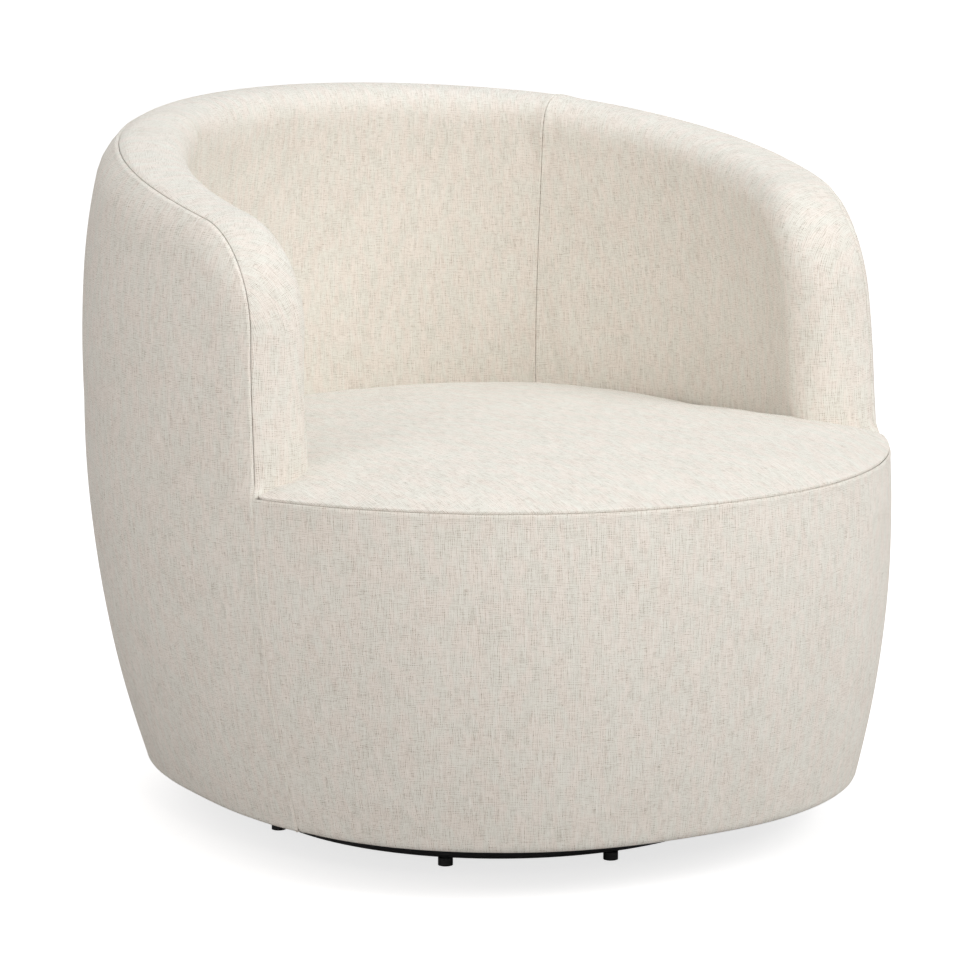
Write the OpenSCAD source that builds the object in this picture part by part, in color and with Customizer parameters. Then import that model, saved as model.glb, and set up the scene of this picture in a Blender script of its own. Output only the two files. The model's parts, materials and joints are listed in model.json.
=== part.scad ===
// Swivel barrel chair: a tight-upholstered barrel shell on a recessed ring base with a ball-race swivel.
// Millimetres, +Z up, floor at zero, front towards -Y, origin under the middle of the chair's box.
// The angle a of a place on the barrel runs from the front, positive towards +X, 180 at the rear.

/* [Barrel] */
// Half of the widest width, across the belly
half_w = 410; // [380:1:440]
// Half of the widest depth, across the belly
half_d = 439; // [410:1:470]
// Height of the widest place
belly_z = 430; // [400:1:460]
// Height of the fabric's lower edge above the floor
body_z = 50; // [48:0.5:60]
// How far the wall draws in from the belly to the lower edge
low_tuck = 60; // [30:1:80]
// How far the wall draws in from the belly to the height of the rim
top_tuck = 47; // [20:1:70]
// Power of that upper draw-in, higher where the wall stays upright for longer
top_share = 2.5; // [1.8:0.1:3]
// How far the rim's middle lies behind the swivel axis
lean = 52; // [20:1:60]
// Extra corner fullness of the plan at the lower edge, as a share of a superellipse power
square_share = 0.3; // [0:0.05:0.5]

/* [Rim and arms] */
// Height of the rim at the rear
rim_z = 735; // [700:1:760]
// Thickness of the padded wall, which is also the width of its rolled rim
wall_t = 92; // [88:1:96]
// How far the rim has fallen at the arm's front
rim_fall = 89; // [60:1:110]
// Angle from the rear at which that fall is reached
fall_a = 110; // [105:1:115]
// Angle of the arm's foremost line
arm_a = 61.5; // [58:0.5:64]
// Radius of the arm's front corner seen from the side
arm_corner_r = 98; // [90:1:130]
// Drop of the outer seam below the rim
seam_drop = 9; // [6:0.5:14]
// How far the outer side of the arm's front is drawn back, as a share of its inset from the wall's middle
arm_skew_share = 0.15; // [0:0.05:0.3]
// Squareness of the rolled rim, a superellipse power
roll_share = 2.4; // [2:0.1:3]
// Angle of the seam between the front apron and the outer cover
side_seam_a = 64; // [62:0.5:67]
// Angle from the rear of the seams between the inner back and the arms
back_seam_a = 46; // [40:1:52]

/* [Seat] */
// Height of the seam between the seat and the front apron
seat_seam_z = 386; // [375:1:395]
// Height of the seat's crown
crown_z = 418; // [410:1:430]
// Height at which the seat's front edge turns down
front_edge_z = 392; // [392:0.5:398]
// Height at which the seat meets the inner walls
wall_edge_z = 383; // [380:1:390]
// Power of the crown's fall towards the edge
crown_share = 2; // [1.8:0.1:3]

/* [Layers] */
// Thickness of a fabric cover with its wadding
skin_t = 4; // [3:0.5:6]
// Thickness of the wall's foam
foam_t = 26; // [22:1:28]
// Thickness of the elastic webbing behind the foam
web_t = 2; // [1:0.5:3]
// Height of one webbing band
web_h = 50; // [40:1:60]
// Thickness of the plywood boards
ply_t = 18; // [15:1:21]
// Clearance between two layers of upholstery
layer_gap = 0.3; // [0.2:0.05:0.5]

/* [Inner frame] */
// Height of the seat frame's top face
frame_top_z = 281; // [260:1:300]
// Width of the seat frame's ring
frame_w = 122; // [118:1:130]
// Width of the struts between the bottom board and the seat frame
strut_w = 76; // [60:1:84]
// Thickness of the top rail
rail_t = 18; // [15:1:21]
// How far the front rail's top lies below the seat's front seam
front_rail_drop = 27; // [21:1:45]
// Diameter of the spring wire
wire_d = 4; // [3:0.2:5]
// Half of the sinuous spring's width
spring_half = 22; // [16:1:26]
// Distance between the springs
spring_step = 84; // [76:1:88]

/* [Base] */
// Radius of the base ring to the middle of its tube
ring_r = 252; // [230:1:260]
// Diameter of the ring's tube
tube_d = 28; // [24:1:30]
// Wall of the ring's tube
tube_wall = 2; // [1.5:0.25:3]
// Height of the glides under the ring
glide_h = 8; // [6:0.5:8.5]
// Diameter of a glide
glide_d = 15; // [12:0.5:18]
// Angle of the first cross arm
arm_turn_a = -22.7; // [-45:0.1:45]
// Angle between a cross arm and the glides on either side of it
glide_a = 19.3; // [14:0.1:22.5]
// Width of a cross arm
bar_w = 34; // [26:1:40]
// Height of a cross arm
bar_h = 20; // [16:1:22]
// Width of the hub plate and of the swivel plate outside the circle of bolts
plate_edge = 14; // [10:1:18]
// Thickness of the hub plate and of the swivel plate
plate_t = 4; // [3:0.5:4]

/* [Swivel bearing] */
// Radius of the circle of balls
race_r = 113; // [105:1:118]
// Width of a race
race_w = 24; // [20:1:28]
// Diameter of a ball
ball_d = 8; // [7:0.5:9]
// Number of balls
balls = 28; // [16:1:36]
// Running clearance round a ball and round the pivot
run_gap = 0.05; // [0.02:0.01:0.09]
// Diameter of the pivot bolt's shank
pivot_d = 16; // [12:1:20]
// Diameter of a plate bolt
bolt_d = 8; // [6:1:8]

/* [Hidden] */
// Half of the wall's thickness is the radius of the rolled rim
roll_r = wall_t / 2;
// Heights of the base, from the floor up
tube_r = tube_d / 2;
tube_z = glide_h + tube_r;
hub_z = tube_z + bar_h / 2;
race_z = hub_z + plate_t;
race_t = 5;
race_split = 2.6;
ball_z = race_z + race_t + race_split / 2;
swivel_z = race_z + 2 * race_t + race_split;
board_z = swivel_z + plate_t;
board_top = board_z + ply_t;
frame_z = frame_top_z - ply_t;
front_rail_h = seat_seam_z - front_rail_drop - frame_top_z;
// Clearance of the webbing between the ribs and the foam
web_gap = 1.1;
// Clearance between the outer cover and the frame's boards, more than the cover's flats draw in
board_gap = 2.4;
// Insets from the outer surface of the layers of the wall
outer_in = skin_t + board_gap;
foam_in = wall_t - skin_t - layer_gap - foam_t;
web_in = foam_in - web_gap - web_t;
rib_in = web_in - web_gap;
// Arc length of one degree along the arm
arm_mm = PI / 180 * (half_w + half_d) / 2;
// Angle at which the wall has its full thickness behind the arm's front
full_a = arm_a + roll_r / arm_mm;
// Clearance between an arm's front pad and the post behind it
post_gap = 2.2;
post_a = full_a + (ply_t / 2 + post_gap) / arm_mm;
// Angle of clearance at a seam between two covers
seam_cut_a = 0.1;
// Length of arm over which its skew fades out
skew_fade = 160;
fade_share = 1.5;
// Depth below the edge that the top rail keeps clear
rail_depth = 40;
rail_clear = 6;
// Smallest half thickness at an edge that would close to a line
edge_half = 2;
// Facets of the ring, of plates, of shafts and of small round pieces
ring_fn = 180;
plate_fn = 96;
shaft_fn = 48;
small_fn = 32;
// Counts of columns and rows in the soft forms
back_steps = 12;
arm_steps = 10;
cap_steps = 6;
cap_rows = 9;
outer_steps = 32;
outer_rows = 4;
apron_steps = 16;
apron_rows = 4;
roll_steps = 6;
leg_steps = 3;
front_rays = 18;
wall_rays = 26;
rail_steps = 32;
plank_rows = 4;
spring_rings = 56;
spring_waves = 7;
spring_sides = 5;
board_rays = 72;
// Angles of the struts and ribs round the barrel
strut_angles = [-48, 0, 48, 96, 138, 180, 222, 264];
back_rib_a = 142;
side_rib_a = 106;
// Angles between the arm's foremost line and the seat's rays before it, at its front edge and at the arm
tip_cut_a = 1.6;
foam_cut_a = 9;
nose_cut_a = 1.1;
nose_share = 4;
// Clearance of the seat's foam under its cover
foam_drop = 1;
// Clearance between the seat and what stands round it, more than the flats of their facets draw in
wall_gap = 3;
// Angle behind the arm's foremost line over which the seat's edge sinks from the front's height to the walls'
edge_turn_a = 14;
// Depth of the seat cover's side below its thickness at the edge
edge_side = 1.5;
cut_over = 1;
// Swivel hardware
pivot_r = pivot_d / 2;
head_h = 8;
head_share = 1.55;
head_r = head_share * pivot_r;
thread_over = 2;
bush_r = pivot_r + 5;
bush_flange = 3;
bush_flange_r = pivot_r + 9;
washer_t = 3;
nut_h = 12;
bush_top = board_top + bush_flange;
washer_z = bush_top + layer_gap;
nut_top = washer_z + washer_t + nut_h;
bolt_turn_a = 45;
bolts = 4;
// Clearance of a bolt's head beside the upper race
bolt_gap = 4.5;
bolt_head_h = 5;
bolt_head_r = 6.5;
bolt_ring_r = race_r + race_w / 2 + bolt_gap + bolt_head_r;
plate_r = bolt_ring_r + plate_edge;
tee_flange = 2;
tee_flange_r = 11;
tee_barrel = 2.5;
tee_depth = 9;
cage_t = 2;
cage_margin = 3;
stem_d = 7;
clip_w = 16;
clip_t = 3;
clip_l = 26;
dust_t = 1;
dust_in = 12;
staple_w = 10;
staple_t = 0.8;
staple_n = 24;
pad_t = 4;
// Clearance of pieces of the inner frame that stand on one another
seat_gap = 0.1;
// Clearance between a rib and the rail above it
rib_gap = 0.8;
// Angle of clearance behind an arm's front pad
front_cut_a = 0.4;
// Angle between the end of the front rail and the arm's foremost line
rail_cut_a = 4;
// Clearance of the spring pad inside the walls
pad_cut = 3;
// Height of the spring pad, and the middle of the suspension in the frame's opening
pad_z = frame_top_z + 2 * clip_t + wire_d + seat_gap;
spring_z = frame_top_z + clip_t + wire_d / 2;
spring_xs = [for (k = [-2:2]) k * spring_step];
// Furthest reach of the barrel to the front and to the rear, from the swivel axis
level_steps = 80;
levels = [for (k = [0:level_steps]) body_z + (rim_z - body_z) * k / level_steps];
front_reach = max([for (z = levels) half_d - tuck(z) - shift_y(z)]);
rear_reach = max([for (z = levels) half_d - tuck(z) + shift_y(z)]);
// Place of the swivel axis, with the origin in the middle between those two
axis_y = (front_reach - rear_reach) / 2;
spring_y = axis_y + shift_y(frame_z);
seat_mid = [0, axis_y + shift_y(seat_seam_z), 0];
// Radii of the roll's layers, the outer seam's place on it and the turn between the seam's two lips
cover_r = roll_r - skin_t;
foam_r = cover_r - layer_gap;
seam_turn_a = asin(pow(1 - seam_drop / roll_r, roll_share / 2));
lip_turn_a = 1;
back_a = 180 - back_seam_a;
// Places of the webbing bands between the seat frame and the rim, as shares of the wall above the frame
web_shares = [0.22, 0.48, 0.74];
// Shares of the way from the middle of the seat to its edge
seat_shares = [0.24, 0.45, 0.62, 0.75, 0.85, 0.92, 0.965, 0.99, 1];
foam_shares = [0.35, 0.65, 0.86, 1];

// Barrel surface
function tuck(z) = z < belly_z ? low_tuck * pow((belly_z - z) / (belly_z - body_z), 2)
  : top_tuck * pow((z - belly_z) / (rim_z - belly_z), top_share);
function shift_y(z) = lean * (z - body_z) / (rim_z - body_z);
function power(z) = 2 + square_share * max(0, (belly_z - z) / (belly_z - body_z));
// Point of the barrel at angle a and height z, drawn in from the surface by an inset
function skin(a, z, inset) =
  let (n = power(z), s = sin(a), c = cos(a),
       k = pow(pow(abs(s), n) + pow(abs(c), n), -1 / n))
  [(half_w - tuck(z) - inset) * s * k,
   axis_y + shift_y(z) - (half_d - tuck(z) - inset) * c * k, z];

// Rim: height at angle a, and the arm's rounded front corner below it
function near_a(a) = a > 180 ? 360 - a : abs(a);
function rim(a) = rim_z - rim_fall * pow((180 - near_a(a)) / fall_a, 2);
// Arc length from the arm's foremost line
function from_tip(a) = (near_a(a) - arm_a) * arm_mm;
// Drop of the line that lies a distance d inside the arm's rounded edge, below the rim
function drop_at(a, d) = let (x = from_tip(a)) x >= arm_corner_r ? d
  : arm_corner_r - sqrt(max(0, pow(arm_corner_r - d, 2) - pow(arm_corner_r - x, 2)));
// Distance inside the arm's rounded edge, for a place x behind its front and drop below the rim
function edge_dist(x, drop) = x < arm_corner_r && drop < arm_corner_r
  ? arm_corner_r - sqrt(pow(arm_corner_r - x, 2) + pow(arm_corner_r - drop, 2))
  : min(x, drop);
// Half thickness of the wall at a distance from its rounded edge
function half_at(d) = let (t = 1 - min(max(d, 0), roll_r) / roll_r)
  max(edge_half, roll_r * pow(1 - pow(t, roll_share), 1 / roll_share));
// Point of the wall at angle a: the arm's front is skewed, so the place moves round with its inset
function wall(a, z, inset) =
  let (fade = pow(max(0, 1 - max(0, from_tip(a)) / skew_fade), fade_share),
       turn = arm_skew_share * (roll_r - inset) * fade / arm_mm, t = turned(a))
  skin(t + (t < 0 ? -turn : turn), z, inset);
function turned(a) = a > 180 ? a - 360 : a;
// Point on the rolled rim: t runs over the roll from its outer side to its inner side
function rolled(a, t, r) = wall(a, rim(a) - drop_at(a, roll_r - r * pow(sin(t), 2 / roll_share)),
  roll_r - r * sign(cos(t)) * pow(abs(cos(t)), 2 / roll_share));

// A sheet with thickness between two grids of points with the same rows and columns
module sheet_between(front, back) {
  m = len(front);
  n = len(front[0]);
  half = m * n;
  points = concat([for (r = front) each r], [for (r = back) each r]);
  top = [for (i = [0:m - 2], j = [0:n - 2]) let (p = i * n + j, q = p + n)
    each [[p, p + 1, q], [p + 1, q + 1, q]]];
  low = [for (i = [0:m - 2], j = [0:n - 2]) let (p = half + i * n + j, q = p + n)
    each [[p, q, p + 1], [p + 1, q, q + 1]]];
  ends = [for (j = [0:n - 2], e = [0, m - 1]) let (p = e * n + j, q = half + p)
    each (e == 0 ? [[p, q, p + 1], [p + 1, q, q + 1]] : [[p, p + 1, q], [p + 1, q + 1, q]])];
  sides = [for (i = [0:m - 2], e = [0, n - 1]) let (p = i * n + e, q = half + p)
    each (e == 0 ? [[p, p + n, q], [p + n, q + n, q]] : [[p, q, p + n], [p + n, q, q + n]])];
  polyhedron(points, concat(top, low, ends, sides), convexity = 6);
}
// A solid made of a stack of closed loops, with a pole at each end
module loops_between(first, loops, last) {
  n = len(loops[0]);
  m = len(loops);
  points = concat([first], [for (l = loops) each l], [last]);
  end = m * n + 1;
  polyhedron(points, concat(
    [for (j = [0:n - 1]) [0, 1 + j, 1 + (j + 1) % n]],
    [for (i = [0:m - 2], j = [0:n - 1]) let (p = 1 + i * n + j, q = 1 + i * n + (j + 1) % n)
      each [[p, p + n, q], [q, p + n, q + n]]],
    [for (j = [0:n - 1]) [end, 1 + (m - 1) * n + (j + 1) % n, 1 + (m - 1) * n + j]]), convexity = 6);
}
// Outline of the barrel at height z as a flat polygon
module barrel_outline(z, inset) {
  polygon([for (k = [0:board_rays - 1]) let (p = skin(360 * k / board_rays, z, inset)) [p[0], p[1]]]);
}
module at_axis() {
  translate([0, axis_y, 0]) children();
}
module ring_of(count, radius, turn = 0) {
  at_axis() for (k = [0:count - 1]) rotate(turn + 360 * k / count) translate([radius, 0, 0]) children();
}

// Base
module tube_torus(r) {
  at_axis() translate([0, 0, tube_z]) rotate_extrude($fn = ring_fn)
    translate([ring_r, 0]) circle(r, $fn = shaft_fn);
}
module base_ring() {
  color("dimgray") difference() {
    tube_torus(tube_r);
    tube_torus(tube_r - tube_wall);
    glide_places() cylinder(h = tube_z, d = stem_d + 2 * run_gap, $fn = small_fn);
  }
}
module glide_places() {
  at_axis() for (k = [0:3], s = [-1, 1])
    rotate(arm_turn_a - 90 + 90 * k + s * glide_a) translate([ring_r, 0, 0]) children();
}
module base_glides() {
  color("black") glide_places() {
    cylinder(h = glide_h, d = glide_d, $fn = small_fn);
    cylinder(h = tube_z, d = stem_d, $fn = small_fn);
  }
}
module cross_arms() {
  inner = head_r + bar_w / 2 + run_gap;
  color("dimgray") difference() {
    at_axis() for (k = [0:3]) rotate(arm_turn_a - 90 + 90 * k)
      translate([inner, -bar_w / 2, tube_z - bar_h / 2]) difference() {
        cube([ring_r - inner, bar_w, bar_h]);
        translate([-cut_over, tube_wall, tube_wall])
          cube([ring_r - inner + 2 * cut_over, bar_w - 2 * tube_wall, bar_h - 2 * tube_wall]);
      }
    tube_torus(tube_r);
  }
}
module hub_plate() {
  color("dimgray") at_axis() translate([0, 0, hub_z]) difference() {
    cylinder(h = plate_t, r = plate_r, $fn = plate_fn);
    translate([0, 0, -cut_over]) cylinder(h = plate_t + 2 * cut_over, r = pivot_r + run_gap, $fn = shaft_fn);
  }
}

// Swivel bearing
module race(z) {
  at_axis() difference() {
    translate([0, 0, z]) difference() {
      cylinder(h = race_t, r = race_r + race_w / 2, $fn = plate_fn);
      translate([0, 0, -cut_over])
        cylinder(h = race_t + 2 * cut_over, r = race_r - race_w / 2, $fn = plate_fn);
    }
    translate([0, 0, ball_z]) rotate_extrude($fn = ring_fn) translate([race_r, 0])
      circle(ball_d / 2 + run_gap, $fn = shaft_fn);
  }
}
module lower_race() {
  color("silver") race(race_z);
}
module upper_race() {
  color("silver") race(swivel_z - race_t);
}
module ball_cage() {
  wide = ball_d + 2 * cage_margin;
  color("goldenrod") difference() {
    at_axis() translate([0, 0, ball_z - cage_t / 2]) difference() {
      cylinder(h = cage_t, r = race_r + wide / 2, $fn = plate_fn);
      translate([0, 0, -cut_over]) cylinder(h = cage_t + 2 * cut_over, r = race_r - wide / 2, $fn = plate_fn);
    }
    ring_of(balls, race_r) translate([0, 0, ball_z - cage_t])
      cylinder(h = 2 * cage_t, d = ball_d + 2 * run_gap, $fn = small_fn);
  }
}
module bearing_balls() {
  color("white") ring_of(balls, race_r) translate([0, 0, ball_z]) sphere(d = ball_d, $fn = small_fn);
}
module swivel_plate() {
  color("silver") difference() {
    at_axis() translate([0, 0, swivel_z]) cylinder(h = plate_t, r = plate_r, $fn = plate_fn);
    at_axis() cylinder(h = board_z + cut_over, r = bush_r, $fn = shaft_fn);
    ring_of(bolts, bolt_ring_r, bolt_turn_a)
      cylinder(h = board_z + cut_over, d = bolt_d + 2 * run_gap, $fn = small_fn);
  }
}
module pivot_bolt() {
  color("gray") at_axis() {
    translate([0, 0, hub_z - head_h]) cylinder(h = head_h, r = head_r, $fn = 6);
    translate([0, 0, hub_z]) cylinder(h = nut_top - hub_z + thread_over, r = pivot_r, $fn = shaft_fn);
  }
}
module pivot_bush() {
  color("tan") at_axis() difference() {
    union() {
      translate([0, 0, swivel_z]) cylinder(h = board_top - swivel_z, r = bush_r, $fn = shaft_fn);
      translate([0, 0, board_top]) cylinder(h = bush_flange, r = bush_flange_r, $fn = shaft_fn);
    }
    cylinder(h = bush_top + cut_over, r = pivot_r + run_gap, $fn = shaft_fn);
  }
}
module pivot_washer() {
  color("silver") at_axis() translate([0, 0, washer_z]) difference() {
    cylinder(h = washer_t, r = bush_flange_r, $fn = shaft_fn);
    translate([0, 0, -cut_over]) cylinder(h = washer_t + 2 * cut_over, r = pivot_r + run_gap, $fn = shaft_fn);
  }
}
module pivot_nut() {
  color("gray") at_axis() translate([0, 0, washer_z + washer_t]) difference() {
    cylinder(h = nut_h, r = head_r, $fn = 6);
    translate([0, 0, -cut_over]) cylinder(h = nut_h + 2 * cut_over, r = pivot_r + run_gap, $fn = shaft_fn);
  }
}
module plate_bolts() {
  color("gray") ring_of(bolts, bolt_ring_r, bolt_turn_a) {
    translate([0, 0, swivel_z - bolt_head_h]) cylinder(h = bolt_head_h, r = bolt_head_r, $fn = 6);
    translate([0, 0, swivel_z]) cylinder(h = board_top + tee_flange - swivel_z, d = bolt_d, $fn = small_fn);
  }
}
module tee_nuts() {
  color("silver") ring_of(bolts, bolt_ring_r, bolt_turn_a) difference() {
    union() {
      translate([0, 0, board_top]) cylinder(h = tee_flange, r = tee_flange_r, $fn = small_fn);
      translate([0, 0, board_top - tee_depth])
        cylinder(h = tee_depth, r = bolt_d / 2 + tee_barrel, $fn = small_fn);
    }
    cylinder(h = board_top + tee_flange + cut_over, d = bolt_d + 2 * run_gap, $fn = small_fn);
  }
}

// Plywood frame
module bottom_board() {
  color("burlywood") difference() {
    translate([0, 0, board_z]) linear_extrude(ply_t) barrel_outline(body_z, outer_in);
    at_axis() cylinder(h = board_top + cut_over, r = bush_r, $fn = shaft_fn);
    ring_of(bolts, bolt_ring_r, bolt_turn_a) {
      cylinder(h = board_top - tee_depth, d = bolt_d + 2 * run_gap, $fn = small_fn);
      translate([0, 0, board_top - tee_depth])
        cylinder(h = tee_depth + cut_over, r = bolt_d / 2 + tee_barrel, $fn = small_fn);
    }
  }
}
module seat_frame() {
  color("burlywood") translate([0, 0, frame_z]) linear_extrude(ply_t) difference() {
    barrel_outline(frame_z, outer_in);
    barrel_outline(frame_z, outer_in + frame_w);
  }
}
// An upright plank at angle a, between two heights and two insets
module plank(a, low, high, near, far, rows) {
  mid = (low + high) / 2;
  step = skin(a + 1, mid, near) - skin(a - 1, mid, near);
  side = [step[0], step[1], 0] * ply_t / 2 / norm([step[0], step[1]]);
  function row(z, s) = [wall(a, z, near) + s * side, wall(a, z, far) + s * side];
  heights = [for (k = [0:rows]) low + (high - low) * k / rows];
  sheet_between([for (z = heights) row(z, -1)], [for (z = heights) row(z, 1)]);
}
module lower_struts() {
  color("burlywood") for (a = strut_angles)
    plank(a, board_top + seat_gap, frame_z - seat_gap, outer_in, outer_in + strut_w, plank_rows);
}
// Height of the top rail's upper face, and of its underside where a rib stands below it
function rail_top(a) = rim(a) - drop_at(a, rail_depth) - rail_clear;
function rail_low(a) = rail_top(a) - rail_t
  - ply_t * abs(rail_top(near_a(a) - 1) - rail_top(near_a(a))) / arm_mm / 2 - rib_gap;
module rib(a) {
  color("burlywood") plank(a, frame_top_z + seat_gap, rail_low(a), outer_in, rib_in, plank_rows);
}
module rib_back_center() { rib(180); }
module rib_back_left() { rib(-back_rib_a); }
module rib_back_right() { rib(back_rib_a); }
module rib_side_left() { rib(-side_rib_a); }
module rib_side_right() { rib(side_rib_a); }
module arm_post_left() { rib(-post_a); }
module arm_post_right() { rib(post_a); }
function span_of(from, to, steps) = [for (k = [0:steps]) from + (to - from) * k / steps];
module top_rail() {
  start = full_a + front_cut_a;
  angles = span_of(start, 360 - start, rail_steps);
  function row(a, h) = [for (inset = [outer_in + layer_gap, rib_in]) wall(a, rail_top(a) - h, inset)];
  color("burlywood") sheet_between([for (a = angles) row(a, 0)], [for (a = angles) row(a, rail_t)]);
}
module front_rail() {
  reach = arm_a - rail_cut_a;
  low = frame_top_z + seat_gap;
  angles = span_of(-reach, reach, apron_steps);
  heights = span_of(low, low + front_rail_h, 2);
  color("burlywood") sheet_between([for (a = angles) [for (z = heights) skin(a, z, outer_in)]],
    [for (a = angles) [for (z = heights) skin(a, z, outer_in + ply_t)]]);
}
module back_webbing() {
  start = post_a - ply_t / 2 / arm_mm;
  angles = span_of(start, 360 - start, rail_steps);
  room = rail_low(post_a) - frame_top_z;
  color("black") for (s = web_shares) {
    heights = span_of(frame_top_z + s * room - web_h / 2, frame_top_z + s * room + web_h / 2, 2);
    sheet_between([for (a = angles) [for (z = heights) wall(a, z, web_in)]],
      [for (a = angles) [for (z = heights) wall(a, z, web_in + web_t)]]);
  }
}

// Seat suspension
// From the middle of the seat frame's opening to its edge, at a distance x to the side
function spring_half_run(x) = let (inset = tuck(frame_z) + outer_in + frame_w, n = power(frame_z))
  (half_d - inset) * pow(1 - pow(abs(x) / (half_w - inset), n), 1 / n) + clip_t;
function wave(x, t) =
  [x + spring_half * sin(360 * spring_waves * t),
   spring_y + (2 * t - 1) * (spring_half_run(x) + clip_l / 2), spring_z];
module seat_springs() {
  color("dimgray") for (x = spring_xs) {
    path = [for (k = [0:spring_rings]) wave(x, k / spring_rings)];
    loops = [for (k = [0:spring_rings])
      let (before = path[max(k - 1, 0)], after = path[min(k + 1, spring_rings)],
           way = (after - before) / norm(after - before), side = [way[1], -way[0], 0])
      [for (j = [0:spring_sides - 1]) let (t = 360 * j / spring_sides)
        path[k] + wire_d / 2 * (side * cos(t) - [0, 0, sin(t)])]];
    loops_between(path[0], loops, path[spring_rings]);
  }
}
module spring_clips() {
  color("silver") for (x = spring_xs, s = [-1, 1])
    translate([x - clip_w / 2, spring_y + s * (spring_half_run(x) + clip_l / 2) - clip_l / 2, frame_top_z])
      difference() {
        cube([clip_w, clip_l, 2 * clip_t + wire_d]);
        translate([-cut_over, s < 0 ? clip_t : -cut_over, clip_t])
          cube([clip_w + 2 * cut_over, clip_l - clip_t + cut_over, wire_d]);
      }
}
module spring_pad() {
  color("gray") translate([0, 0, pad_z]) linear_extrude(pad_t)
    barrel_outline(pad_z, wall_t + pad_cut);
}

// Seat: angle and inset of each ray of its edge, round the front, the arm fronts and the inner walls
function cap_x(k) = roll_r * (1 - cos(90 * k / cap_steps));
function cap_edge(gap) = [for (k = [0:cap_steps])
  [arm_a + cap_x(k) / arm_mm - nose_cut_a * pow(1 - k / cap_steps, nose_share),
   roll_r + half_at(cap_x(k)) + gap]];
function seat_edge(gap, front_in, side_in, cut) = let (tip = arm_a - cut, cap = cap_edge(gap + side_in))
  concat([for (a = span_of(-tip, tip, front_rays)) [a, front_in]],
    [for (p = cap) p],
    [for (a = span_of(full_a, 360 - full_a, wall_rays)) if (a > full_a && a < 360 - full_a)
      [a, wall_t + gap + side_in]],
    [for (k = [cap_steps:-1:0]) [360 - cap[k][0], cap[k][1]]]);
function edge_z(a) = let (x = min(1, max(0, (near_a(a) - arm_a) / edge_turn_a)))
  front_edge_z + (wall_edge_z - front_edge_z) * x * x * (3 - 2 * x);
function edge_place(e, z) = e[1] < roll_r ? skin(turned(e[0]), z, e[1]) : wall(e[0], z, e[1]);
function seat_loop(edge, s, low, drop) = [for (e = edge)
  let (p = edge_place(e, low > 0 ? low : seat_seam_z), top = edge_z(e[0]),
       z = low > 0 ? low : top + (crown_z - top) * pow(1 - pow(s, crown_share), 0.5) - drop)
  [seat_mid[0] + s * (p[0] - seat_mid[0]), seat_mid[1] + s * (p[1] - seat_mid[1]), z]];
// Lower edge of the seat's cover, on the apron at the front and tucked down at the walls
function lip_loop(edge) = [for (e = edge) let (p = edge_place(e, seat_seam_z))
  [p[0], p[1], min(seat_seam_z + layer_gap, edge_z(e[0]) - skin_t - edge_side)]];
function seat_pole(z) = [seat_mid[0], seat_mid[1], z];
module seat_cover() {
  outer = seat_edge(wall_gap, 0, 0, tip_cut_a);
  inner = seat_edge(wall_gap, skin_t, skin_t, tip_cut_a);
  color("ivory") loops_between(seat_pole(crown_z - skin_t),
    concat([for (s = seat_shares) seat_loop(inner, s, 0, skin_t)], [lip_loop(inner), lip_loop(outer)],
      [for (k = [len(seat_shares) - 1:-1:0]) seat_loop(outer, seat_shares[k], 0, 0)]),
    seat_pole(crown_z));
}
module seat_foam() {
  edge = seat_edge(wall_gap, outer_in + ply_t + wall_gap, skin_t + layer_gap, foam_cut_a);
  low = pad_z + pad_t;
  drop = skin_t + foam_drop;
  color("khaki") loops_between(seat_pole(low),
    concat([seat_loop(edge, foam_shares[0], low, 0), seat_loop(edge, 1, low, 0)],
      [for (k = [len(foam_shares) - 1:-1:0]) seat_loop(edge, foam_shares[k], 0, drop)]),
    seat_pole(crown_z - drop));
}

// Inner back and arms: a layer of the wall from the outer seam, over the rolled rim and down to the frame
module wall_layer(from, to, steps, outer_r, inner_r, start_t) {
  low = frame_top_z + seat_gap;
  // One column from the seam to the frame, at a layer radius r
  function column(a, r) = concat(
    [for (t = span_of(start_t, 180, roll_steps)) rolled(a, t, r)],
    [for (k = [1:leg_steps]) let (top = rolled(a, 180, r)[2])
      wall(a, top + (low - top) * k / leg_steps, roll_r + r)]);
  angles = span_of(from, to, steps);
  sheet_between([for (a = angles) column(a, outer_r)], [for (a = angles) column(a, inner_r)]);
}
module cover_layer(from, to, steps) {
  color("ivory") wall_layer(from, to, steps, roll_r, cover_r, seam_turn_a);
}
module foam_layer(from, to, steps) {
  color("khaki") wall_layer(from, to, steps, foam_r, foam_r - foam_t, seam_turn_a);
}
module back_cover() { cover_layer(back_a + seam_cut_a, 360 - back_a - seam_cut_a, back_steps); }
module back_foam() { foam_layer(back_a + seam_cut_a, 360 - back_a - seam_cut_a, back_steps); }
module arm_cover_right() { cover_layer(full_a + front_cut_a, back_a - seam_cut_a, arm_steps); }
module arm_cover_left() { mirror([1, 0, 0]) arm_cover_right(); }
module arm_foam_right() { foam_layer(full_a + front_cut_a, back_a - seam_cut_a, arm_steps); }
module arm_foam_left() { mirror([1, 0, 0]) arm_foam_right(); }
// Padded front of an arm, rounded to the front and to the rim
module arm_front_right() {
  low = seat_seam_z + layer_gap;
  function column(k, s) =
    let (x = cap_x(k), a = arm_a + x / arm_mm, top = drop_at(a, min(x, edge_half / 2)))
    [for (j = [0:cap_rows]) let (z = low + (rim(a) - top - low) * sin(90 * j / cap_rows))
      wall(a, z, roll_r - s * half_at(edge_dist(x, rim(a) - z)))];
  color("ivory")
    sheet_between([for (k = [0:cap_steps]) column(k, 1)], [for (k = [0:cap_steps]) column(k, -1)]);
}
module arm_front_left() { mirror([1, 0, 0]) arm_front_right(); }
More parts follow.
